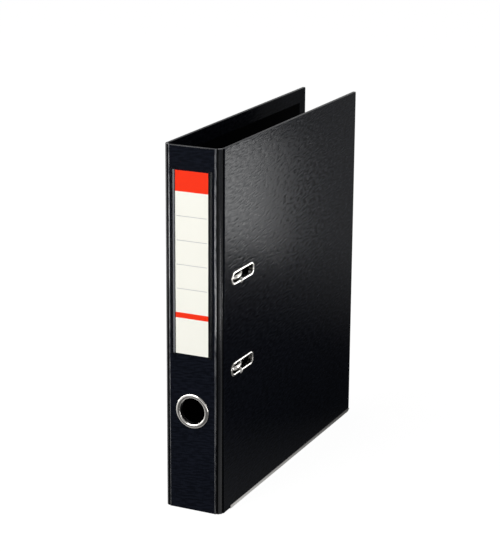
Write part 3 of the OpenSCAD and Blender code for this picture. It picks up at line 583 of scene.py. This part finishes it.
def merged_copy(node):
    """The merged and cleaned mesh of a CAD node, as a new bmesh."""
    work = bmesh.new()
    work.from_mesh(NODES[node].data)
    bmesh.ops.remove_doubles(work, verts=work.verts, dist=0.002 * MM)
    bmesh.ops.dissolve_limit(
        work, angle_limit=math.radians(1), verts=work.verts, edges=work.edges)
    return work


class BINDER_OT_outer_film(bpy.types.Operator):
    """Makes the case's outer film, rounded where it wraps the board's outer edges"""

    bl_idname = "binder.outer_film"
    bl_label = "Outer film"

    def execute(self, context):
        # Materials 0, 1 and 2: the film turned in over the board is rubbed dull by the sheets
        materials = [embossed_polypropylene(), pressed_polypropylene(),
                     embossed_polypropylene("rubbed_polypropylene_turn_in", gloss_share=0.35)]
        embossed, pressed, turned_in = range(3)
        for body, node in PANELS.items():
            low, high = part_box(node)
            work = merged_copy(node)
            bmesh.ops.bevel(
                work, geom=[e for e in work.edges if self.is_rim(e, low, high)],
                offset=context.scene.binder_film.edge, offset_type="OFFSET", segments=3,
                profile=0.5, affect="EDGES", material=pressed, clamp_overlap=True)
            for face in work.faces:
                face.smooth = face.material_index == pressed
                inwards = face.normal.y
                if body != "spine":
                    inwards = -face.normal.x * math.copysign(1, low.x)
                if face.material_index == embossed and inwards > 0.9:
                    face.material_index = turned_in
            if body.endswith("hinge"):
                self.crown(work, 1 if high.x > 0 else -1)
                for face in work.faces:
                    face.material_index = pressed
                    face.smooth = True
            mesh = bpy.data.meshes.new(body + "_film")
            write_mesh(mesh, work, materials)
            finished_piece(body + "_film", mesh, body, node)
        return {"FINISHED"}

    @staticmethod
    def crown(work, side):
        """Raises a hinge strip's outer face into the low rounded hump between its two creases.

        side is 1 at the front hinge and -1 at the back one."""
        hump = 0.3 * MM
        outward = Vector((side, -1, 0)).normalized()
        along = Vector((side, 1, 0)).normalized()
        reach = max(v.co.dot(outward) for v in work.verts)
        outer = [f for f in work.faces if f.normal.dot(outward) > 0.99
                 and f.calc_center_median().dot(outward) > reach - NEAR]
        level = [e for e in work.edges if any(f in outer for f in e.link_faces)
                 and abs(e.verts[0].co.z - e.verts[1].co.z) < NEAR]
        ends = [v.co.dot(along) for f in outer for v in f.verts]
        middle, half = (min(ends) + max(ends)) / 2, (max(ends) - min(ends)) / 2
        bmesh.ops.subdivide_edges(work, edges=level, cuts=9, use_grid_fill=False)
        for vertex in work.verts:
            if vertex.co.dot(outward) > reach - NEAR:
                share = min(1, abs(vertex.co.dot(along) - middle) / half)
                vertex.co += outward * hump * math.cos(share * math.pi / 2)
        # The cuts come in no fixed order, so they are put in one that is the same in every run
        slant = Vector((1.0, 1.7, 2.9))
        work.verts.sort(key=lambda v: v.co.dot(slant))
        work.edges.sort(key=lambda e: (e.verts[0].co + e.verts[1].co).dot(slant))
        work.faces.sort(key=lambda f: f.calc_center_median().dot(slant))

    @staticmethod
    def is_rim(edge, low, high):
        """True for an edge along the panel's outline, where two faces meet square."""
        if len(edge.link_faces) != 2 or edge.calc_face_angle(0) < math.radians(50):
            return False
        middle = (edge.verts[0].co + edge.verts[1].co) / 2
        top_or_foot = middle.z < low.z + NEAR or middle.z > high.z - NEAR
        # Only the covers reach this far back, to their fore edge
        is_cover = high.y > 100 * MM
        fore_width = 5 * MM
        fore = is_cover and middle.y > high.y - fore_width
        return top_or_foot or (fore and edge.is_convex)


def smooth_path(points, steps):
    """Points along a smooth curve through the given points."""
    out = []
    for i in range(len(points) - 1):
        before, a, b, after = (
            points[max(0, min(len(points) - 1, i + k))] for k in (-1, 0, 1, 2))
        for k in range(steps):
            t = k / steps
            out.append(0.5 * (
                2 * a + (b - before) * t + (2 * before - 5 * a + 4 * b - after) * t * t
                + (3 * a - before - 3 * b + after) * t ** 3))
    return out + [points[-1]]


def crease_strip(name, fold, ways, profile, thick, materials):
    """A strip of film along one fold line, as tall as the spine.

    ways holds each side's direction away from the fold and its outward normal; profile
    lists (distance from the fold, height in the panel) from the outside in."""
    (out_a, up_a), (out_b, up_b) = ways
    path = [fold + out_a * s + up_a * t for s, t in profile]
    path += [fold + out_b * s + up_b * t for s, t in reversed(profile)]
    path = smooth_path(path, steps=3)
    inward = -(up_a + up_b).normalized() * thick
    rows = []
    for z in (SPINE_LOW.z, SPINE_HIGH.z):
        front = [Vector((p.x, p.y, z)) for p in path]
        rows += front + [p + inward for p in front]
    # Rows in turn: front and back at the foot, then front and back at the top
    count = len(path)
    step = 2 * count
    faces = []
    for i in range(count - 1):
        faces.append((i, i + 1, step + i + 1, step + i))
        faces.append((count + i, step + count + i, step + count + i + 1, count + i + 1))
        faces.append((i, count + i, count + i + 1, i + 1))
        faces.append((step + i, step + i + 1, step + count + i + 1, step + count + i))
    last = count - 1
    faces.append((0, step, step + count, count))
    faces.append((last, count + last, step + count + last, step + last))
    return mesh_object(name, rows, faces, materials, smooth=True)


class BINDER_OT_crease_films(bpy.types.Operator):
    """Makes the film across the four folds, outside and inside"""

    bl_idname = "binder.crease_films"
    bl_label = "Crease films"

    def execute(self, context):
        made = bpy.data.materials
        finishes = [made["pressed_polypropylene_edge"], creased_polypropylene(),
                    ironed_polypropylene(), made["embossed_polypropylene_film"]]
        depth = context.scene.binder_film.crease_depth
        outside = [(1.5 * MM, HALF + 0.02 * MM), (1.2 * MM, HALF + 0.04 * MM),
                   (0.85 * MM, HALF - 0.1 * MM), (0.5 * MM, HALF - 0.5 * depth),
                   (0.0, HALF - depth)]
        # Panels meet at 45 degrees, so their inner edges stand off from the fold line
        edge = FOLD_GAP / 2 + HALF * math.tan(math.radians(45 / 2))
        inside = [(edge + 0.6 * MM, 0.05 * MM - HALF), (edge, 0.05 * MM - HALF)]
        outer_thick, inner_thick, reach = 0.15 * MM, 0.12 * MM, 0.8 * MM
        for joint, first, second in FOLDS:
            fold = joint_place(joint)
            fold.z = 0
            side = 1 if fold.x > 0 else -1
            away, outward = Vector((side, 1, 0)).normalized(), Vector((side, -1, 0)).normalized()
            at_spine = first == "spine"
            if at_spine:
                near = (Vector((-side, 0, 0)), Vector((0, -1, 0)))
                far = (away, outward)
            else:
                near = (-away, outward)
                far = (Vector((0, 1, 0)), Vector((side, 0, 0)))
            outer = crease_strip(
                joint + "_outer", fold, (near, far), outside, outer_thick, finishes)
            self.finish_bands(outer, fold, near[0], far[0], at_spine)
            inner = crease_strip(
                joint + "_inner", fold, (near, far), inside, -inner_thick, [made["lining_film"]])
            for piece, slot in ((outer, "outer_film"), (inner, "lining")):
                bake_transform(piece)
        return {"FINISHED"}

    @staticmethod
    def finish_bands(piece, fold, near, far, at_spine):
        """Sets which finish each band of a crease has: pressed, sunk in the groove with painted
        shade, or ironed with a painted highlight.
        """
        groove, shoulder, embossed = 1, 2, 3
        groove_on_panel, groove_on_strip = 0.3 * MM, (1.2 if at_spine else 0.7) * MM
        for face in piece.data.polygons:
            away = face.center - fold
            away.z = 0
            panel, strip = away.dot(near), away.dot(far)
            if not at_spine:
                panel, strip = strip, panel
            # Painted shade in the groove, and a painted highlight on the spine's shoulders
            if panel < groove_on_panel and strip < groove_on_strip:
                face.material_index = groove
            elif panel > strip:
                face.material_index = shoulder if at_spine else embossed


class BINDER_OT_linings(bpy.types.Operator):
    """Dresses the boards and the inner lining"""

    bl_idname = "binder.linings"
    bl_label = "Boards and lining"

    def execute(self, context):
        panels = ("back", "back_hinge", "spine", "front_hinge", "front")
        dress([p + "_lining" for p in panels], lining_film())
        dress([p + "_board" for p in panels], greyboard())
        return {"FINISHED"}


class BINDER_OT_metal(bpy.types.Operator):
    """Dresses the plated fittings and the mechanism"""

    bl_idname = "binder.metal"
    bl_label = "Plated metal"

    def execute(self, context):
        roughness = context.scene.binder_metal.roughness
        # The pressed ring and the drawn wire mirror what is round them
        polished = plated("pressed_nickel_plate", roughness, streak=0.8, length=0.8)
        dress(["finger_ring_inner"], polished)
        self.finger_ring(polished)
        # Plating in a barrel leaves the eyelets soft and grey; the rolled rails are satin
        dress(["slot_eyelets_outer", "slot_eyelets_inner"], plated(
            "barrelled_nickel_plate", roughness * 1.8, streak=0.8, length=0.8,
            tone=hex_linear("#c4c2be")))
        dress(["back_bottom_rail", "front_bottom_rail"], plated(
            "rolled_nickel_rail", roughness * 2.5, streak=0.6, length=0.6,
            tone=hex_linear("#e6e4e0")))
        dress(["arch_wire", "ring_posts", "lever_pin", "roller_pin", "mechanism_rivets"],
              plated("drawn_nickel_wire", roughness, streak=0.4, length=0.4))
        # Stamped sheet keeps the long streaks of its rolling
        dress(["base_plate", "lever_channel", "compressor_bar"],
              plated("stamped_nickel_sheet", roughness * 1.6, streak=0.3, length=14))
        dress(["arch_spring"], spring_steel())
        return {"FINISHED"}

    @staticmethod
    def finger_ring(polished):
        """The ring's pressed front half: a polished round flange, and a dull bore painted dark as
        shade.
        """
        work = merged_copy("finger_ring_outer")
        for face in work.faces:
            face.smooth = face.normal.y < -0.05
            face.material_index = 1 if abs(face.normal.y) < 0.05 else 0
        # The bore's plate is near black: painted shade in the ring's hole
        dull_shaded_bore = plated("drawn_bore_painted_shade", roughness=0.5, streak=0.3, length=0.3,
                      tone=hex_linear("#2c2c2d"))
        mesh = bpy.data.meshes.new("finger_ring_plate")
        write_mesh(mesh, work, [polished, dull_shaded_bore])
        finished_piece("finger_ring_plate", mesh, "spine", "finger_ring_outer")


class BINDER_OT_plastics(bpy.types.Operator):
    """Dresses the moulded plastic parts: satin black ABS, and a white acetal roller"""

    bl_idname = "binder.plastics"
    bl_label = "Moulded parts"

    def execute(self, context):
        dress(["lever_grip", "compressor_clips"],
              moulded_plastic("black_abs", hex_linear("#1c1c1f"), roughness=0.35))
        dress(["cam_roller"],
              moulded_plastic("white_acetal", hex_linear("#ecebe4"), roughness=0.3))
        return {"FINISHED"}


class BINDER_OT_label(bpy.types.Operator):
    """Dresses the insert card and its clear pocket"""

    bl_idname = "binder.label"
    bl_label = "Label"

    def execute(self, context):
        dress(["label_card"], printed_card())
        dress(["label_pocket"], clear_film())
        return {"FINISHED"}


def node_group(name, sizes):
    """A geometry node tree with a mesh and named sizes as its inputs, and their sockets."""
    tree = bpy.data.node_groups.new(name, "GeometryNodeTree")
    for way in ("OUTPUT", "INPUT"):
        tree.interface.new_socket("Geometry", in_out=way, socket_type="NodeSocketGeometry")
    for label, kind in sizes.items():
        tree.interface.new_socket(label, in_out="INPUT", socket_type=kind)
    return tree, add_node(tree, "NodeGroupInput").outputs


def close_group(tree, geometry, material):
    """Ends a tree: makes its instances real and dresses what it grows."""
    real = add_node(tree, "GeometryNodeRealizeInstances", {"Geometry": geometry})
    dressed = add_node(tree, "GeometryNodeSetMaterial", {
        "Geometry": real.outputs[0], "Material": material})
    add_node(tree, "NodeGroupOutput", {0: dressed.outputs[0]})


def grown_piece(name, points, tree, values, body, *nodes):
    """Runs a tree on a path of edges and makes a plain mesh piece of what it grows."""
    path = bpy.data.meshes.new(name + "_path")
    path.from_pydata([tuple(p) for p in points], [(i, i + 1) for i in range(len(points) - 1)], [])
    holder = scene_object(name + "_start", path)
    modifier = holder.modifiers.new(name, "NODES")
    modifier.node_group = tree
    sockets = {item.name: item.identifier
               for item in tree.interface.items_tree if item.in_out == "INPUT"}
    for label, value in values.items():
        modifier[sockets[label]] = value
    graph = bpy.context.evaluated_depsgraph_get()
    mesh = bpy.data.meshes.new_from_object(holder.evaluated_get(graph))
    bpy.data.objects.remove(holder)
    mesh.name = name
    finished_piece(name, mesh, body, *nodes)


def wire_tree(material):
    """Round wire along a path of edges."""
    tree, given = node_group("round_wire", {
        "Wire radius": "NodeSocketFloat", "Sides": "NodeSocketInt"})
    path = add_node(tree, "GeometryNodeMeshToCurve", {"Mesh": given["Geometry"]})
    ring = add_node(tree, "GeometryNodeCurvePrimitiveCircle", {
        "Resolution": given["Sides"], "Radius": given["Wire radius"]})
    tube = add_node(tree, "GeometryNodeCurveToMesh", {
        "Curve": path.outputs[0], "Profile Curve": ring.outputs[0], "Fill Caps": True})
    close_group(tree, tube.outputs[0], material)
    return tree


class BINDER_OT_arch_spring(bpy.types.Operator):
    """Winds the round-wire torsion spring on the arch wire's axle"""

    bl_idname = "binder.arch_spring"
    bl_label = "Arch spring"

    def execute(self, context):
        spring = context.scene.binder_spring
        low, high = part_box("arch_spring")
        wire = spring.wire
        # The coil runs round the axle. Its legs leave it on the side next to the base plate:
        # one under the crank below, and one on the plate above
        axle = joint_place("arch_swing")
        radius = axle.x - low.x - wire
        pitch = 2 * wire + 0.1 * MM
        top = high.z - wire
        foot = top - pitch * (spring.turns + 0.2)
        points = [Vector((axle.x - radius, high.y, low.z + wire)),
                  Vector((axle.x - radius, axle.y + radius / 2, foot - 0.2 * pitch))]
        per_turn = 36
        for i in range(spring.turns * per_turn + 1):
            turn = 2 * math.pi * i / per_turn
            points.append(Vector((
                axle.x - radius * math.cos(turn), axle.y - radius * math.sin(turn),
                foot + pitch * i / per_turn)))
        points.append(Vector((axle.x - radius, low.y, top)))
        grown_piece("arch_spring_wire", points, wire_tree(spring_steel()), {
            "Wire radius": wire, "Sides": spring.sides}, "back_cover", "arch_spring")
        return {"FINISHED"}


def rib_tree(material):
    """Half-round ribs across a path, evenly spaced along it."""
    tree, given = node_group("grip_ribs", {
        "Ribs": "NodeSocketInt", "Rib radius": "NodeSocketFloat", "Rib length": "NodeSocketFloat"})
    path = add_node(tree, "GeometryNodeMeshToCurve", {"Mesh": given["Geometry"]})
    places = add_node(tree, "GeometryNodeCurveToPoints", {
        "Curve": path.outputs[0], "Count": given["Ribs"]}, mode="COUNT")
    rib = add_node(tree, "GeometryNodeMeshCylinder", {
        "Vertices": 12, "Radius": given["Rib radius"], "Depth": given["Rib length"]})
    turned = add_node(tree, "GeometryNodeTransform", {
        "Geometry": rib.outputs[0], "Rotation": (math.pi / 2, 0, 0)})
    ribs = add_node(tree, "GeometryNodeInstanceOnPoints", {
        "Points": places.outputs[0], "Instance": turned.outputs[0]})
    close_group(tree, ribs.outputs[0], material)
    return tree


class BINDER_OT_grip_ribs(bpy.types.Operator):
    """Sets thumb ribs across the lever's moulded grip"""

    bl_idname = "binder.grip_ribs"
    bl_label = "Grip ribs"

    def execute(self, context):
        low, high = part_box("lever_grip")
        pivot = joint_place("lever_lift")
        # The grip follows the lever's back: an arc whose centre lies over the straight part
        radius, ahead, back = 70 * MM, 22 * MM, 4.5 * MM
        centre = Vector((pivot.x + back + radius, pivot.y, pivot.z + ahead))
        inner = radius - 2.0 * MM
        margins = 2.4 * MM
        points = []
        first_degree, last_degree = 23, 33
        for degrees in range(first_degree, last_degree + 1):
            angle = math.radians(degrees)
            points.append(Vector((
                centre.x - inner * math.cos(angle), centre.y,
                centre.z + inner * math.sin(angle))))
        ribs = context.scene.binder_grip
        length = high.y - low.y - margins
        grown_piece("grip_ribs", points, rib_tree(bpy.data.materials["black_abs"]), {
            "Ribs": ribs.count, "Rib radius": ribs.radius, "Rib length": length}, "lever")
        return {"FINISHED"}


# ---------------------------------------------------------------- stage


def area_lamp(name, place, target, size, power):
    """A rectangular lamp, unseen by the camera, that faces a target."""
    data = bpy.data.lights.new(name, "AREA")
    data.shape = "RECTANGLE"
    data.size, data.size_y = size
    data.energy = power
    lamp = scene_object(name, data)
    lamp.location = place
    lamp.rotation_mode = "QUATERNION"
    lamp.rotation_quaternion = (Vector(target) - Vector(place)).to_track_quat("-Z", "Y")
    lamp.visible_camera = False
    return lamp


def seen_rays(tree, mirrored_share):
    """1 for the camera's rays; the given share in a reflection or through glass; else 0."""
    rays = add_node(tree, "ShaderNodeLightPath").outputs
    mirrored = add_node(tree, "ShaderNodeMath", {
        0: rays["Is Glossy Ray"], 1: rays["Is Transmission Ray"]}, operation="MAXIMUM").outputs[0]
    mirrored = add_node(tree, "ShaderNodeMath", {
        0: mirrored, 1: mirrored_share}, operation="MULTIPLY").outputs[0]
    return add_node(tree, "ShaderNodeMath", {
        0: rays["Is Camera Ray"], 1: mirrored}, operation="MAXIMUM").outputs[0]


class BINDER_OT_stage(bpy.types.Operator):
    """Makes the floor, the room's light, the lamps and the camera"""

    bl_idname = "binder.stage"
    bl_label = "Stage"

    def execute(self, context):
        scene = context.scene
        stage = scene.binder_stage
        scene.view_settings.view_transform = "Standard"
        self.floor()
        self.room(scene)
        area_lamp("key_lamp", place=(-0.9, -1.7, 1.3), target=(0, -0.1, 0.16),
                  size=(1.7, 1.7), power=stage.key)
        cover = area_lamp("cover_lamp", place=(0.37, 0.445, 0.125), target=(0.03, -0.12, 0.3),
                          size=(0.2, 0.14), power=stage.glow)
        cover.data.spread = math.radians(50)
        left_share, right_share = 0.6, 0.08
        area_lamp("left_strip", place=(-1.15, -0.3, 0.35), target=(0, -0.14, 0.12),
                  size=(0.4, 0.7), power=stage.strips * left_share)
        area_lamp("right_strip", place=(0.46, -0.36, 0.2), target=(0.025, -0.14, 0.15),
                  size=(0.06, 0.4), power=stage.strips * right_share)
        self.camera(scene)
        return {"FINISHED"}

    @staticmethod
    def room(scene):
        """A soft room light; the white backdrop shows to the camera and in reflections."""
        world = bpy.data.worlds.new("room")
        world.use_nodes = True
        tree = world.node_tree
        way = add_node(tree, "ShaderNodeTexCoord").outputs["Generated"]
        parts = add_node(tree, "ShaderNodeSeparateXYZ", {0: way}).outputs
        # In reflections the backdrop is white behind and to the left, and dim in front
        back_left = add_node(tree, "ShaderNodeMath", {
            0: parts[0], 1: -0.8, 2: parts[1]}, operation="MULTIPLY_ADD").outputs[0]
        behind = add_node(tree, "ShaderNodeMapRange", {
            "Value": back_left, "From Min": -0.3, "From Max": 0.4, "To Min": 0.2, "To Max": 1.0})
        strength = add_node(tree, "ShaderNodeMath", {
            0: seen_rays(tree, behind.outputs[0]), 1: scene.binder_stage.ambient},
            operation="MAXIMUM")
        set_inputs(tree, tree.nodes["Background"], {0: WHITE, 1: strength.outputs[0]})
        scene.world = world

    @staticmethod
    def floor():
        """A pale floor that keeps the binder's shadow and is seen as white."""
        reach = 9.0
        corners = [(-reach, -reach, 0), (reach, -reach, 0), (reach, reach, 0), (-reach, reach, 0)]
        material, tree, shader = new_material("pale_floor")
        # In reflections it glows all round the binder but for two dim places of painted shadow,
        # each given by its middle and the distances from it where the glow starts and is full
        painted_shadow_places = (((0.12, -0.5, 0), 0.28, 0.5), ((0.19, 0.2, 0), 0.15, 0.52))
        place = add_node(tree, "ShaderNodeTexCoord").outputs["Object"]
        clear = 1.0
        for middle, start, full in painted_shadow_places:
            away = add_node(tree, "ShaderNodeVectorMath", {
                0: place, 1: middle}, operation="DISTANCE").outputs["Value"]
            glow = add_node(tree, "ShaderNodeMapRange", {
                "Value": away, "From Min": start, "From Max": full,
                "To Min": 0.02, "To Max": 1.0}).outputs[0]
            clear = add_node(tree, "ShaderNodeMath", {
                0: clear, 1: glow}, operation="MINIMUM").outputs[0]
        # A little under 1, so that the white floor still shows the binder's shadow
        strength = add_node(tree, "ShaderNodeMath", {
            0: seen_rays(tree, clear), 1: 0.96}, operation="MULTIPLY")
        set_inputs(tree, shader, {
            "Base Color": hex_linear("#5a5a5a"), "Roughness": 0.9, "Specular IOR Level": 0.0,
            "Emission Color": WHITE, "Emission Strength": strength.outputs[0]})
        floor = mesh_object("floor", corners, [(0, 1, 2, 3)], [material])

    @staticmethod
    def camera(scene):
        """A long lens in front, to the right and above, turned a little about its own axis."""
        place = (0.6617, -1.4367, 0.6360)
        heading, tilt, roll = (math.radians(a) for a in (-25.199, 16.359, 0.379))
        forward = Vector((
            math.sin(heading) * math.cos(tilt), math.cos(heading) * math.cos(tilt),
            -math.sin(tilt)))
        right = Vector((math.cos(heading), -math.sin(heading), 0))
        up = right.cross(forward)
        side = math.cos(roll) * right + math.sin(roll) * up
        top = -math.sin(roll) * right + math.cos(roll) * up
        data = bpy.data.cameras.new("camera")
        data.sensor_width = 36
        data.lens = 119.79
        data.clip_start, data.clip_end = 0.05, 60
        camera = scene_object("camera", data)
        turn = Matrix((side, top, -forward)).transposed().to_4x4()
        camera.matrix_world = Matrix.Translation(place) @ turn
        scene.camera = camera


# ---------------------------------------------------------------- add-on


OPERATORS = (
    BINDER_OT_outer_film,
    BINDER_OT_linings,
    BINDER_OT_crease_films,
    BINDER_OT_metal,
    BINDER_OT_plastics,
    BINDER_OT_label,
    BINDER_OT_arch_spring,
    BINDER_OT_grip_ribs,
    BINDER_OT_stage,
)


class BINDER_PT_panel(bpy.types.Panel):
    """Lists the binder's settings and steps"""

    bl_idname = "BINDER_PT_panel"
    bl_label = "Lever arch binder"
    bl_space_type = "VIEW_3D"
    bl_region_type = "UI"
    bl_category = "Binder"

    def draw(self, context):
        for name, group in SETTINGS.items():
            box = self.layout.box()
            box.label(text=group.__doc__)
            for key in group.__annotations__:
                box.prop(getattr(context.scene, name), key)
        for operator in OPERATORS:
            self.layout.operator(operator.bl_idname)


def register():
    for cls in (*SETTINGS.values(), *OPERATORS, BINDER_PT_panel):
        bpy.utils.register_class(cls)
    for name, group in SETTINGS.items():
        setattr(bpy.types.Scene, name, PointerProperty(type=group))


def unregister():
    for name in SETTINGS:
        delattr(bpy.types.Scene, name)
    for cls in (BINDER_PT_panel, *reversed(OPERATORS), *SETTINGS.values()):
        bpy.utils.unregister_class(cls)


def main():
    """Dresses the CAD model step by step."""
    register()
    for operator in OPERATORS:
        group, name = operator.bl_idname.split(".")
        getattr(getattr(bpy.ops, group), name)()


if __name__ == "__main__":
    main()
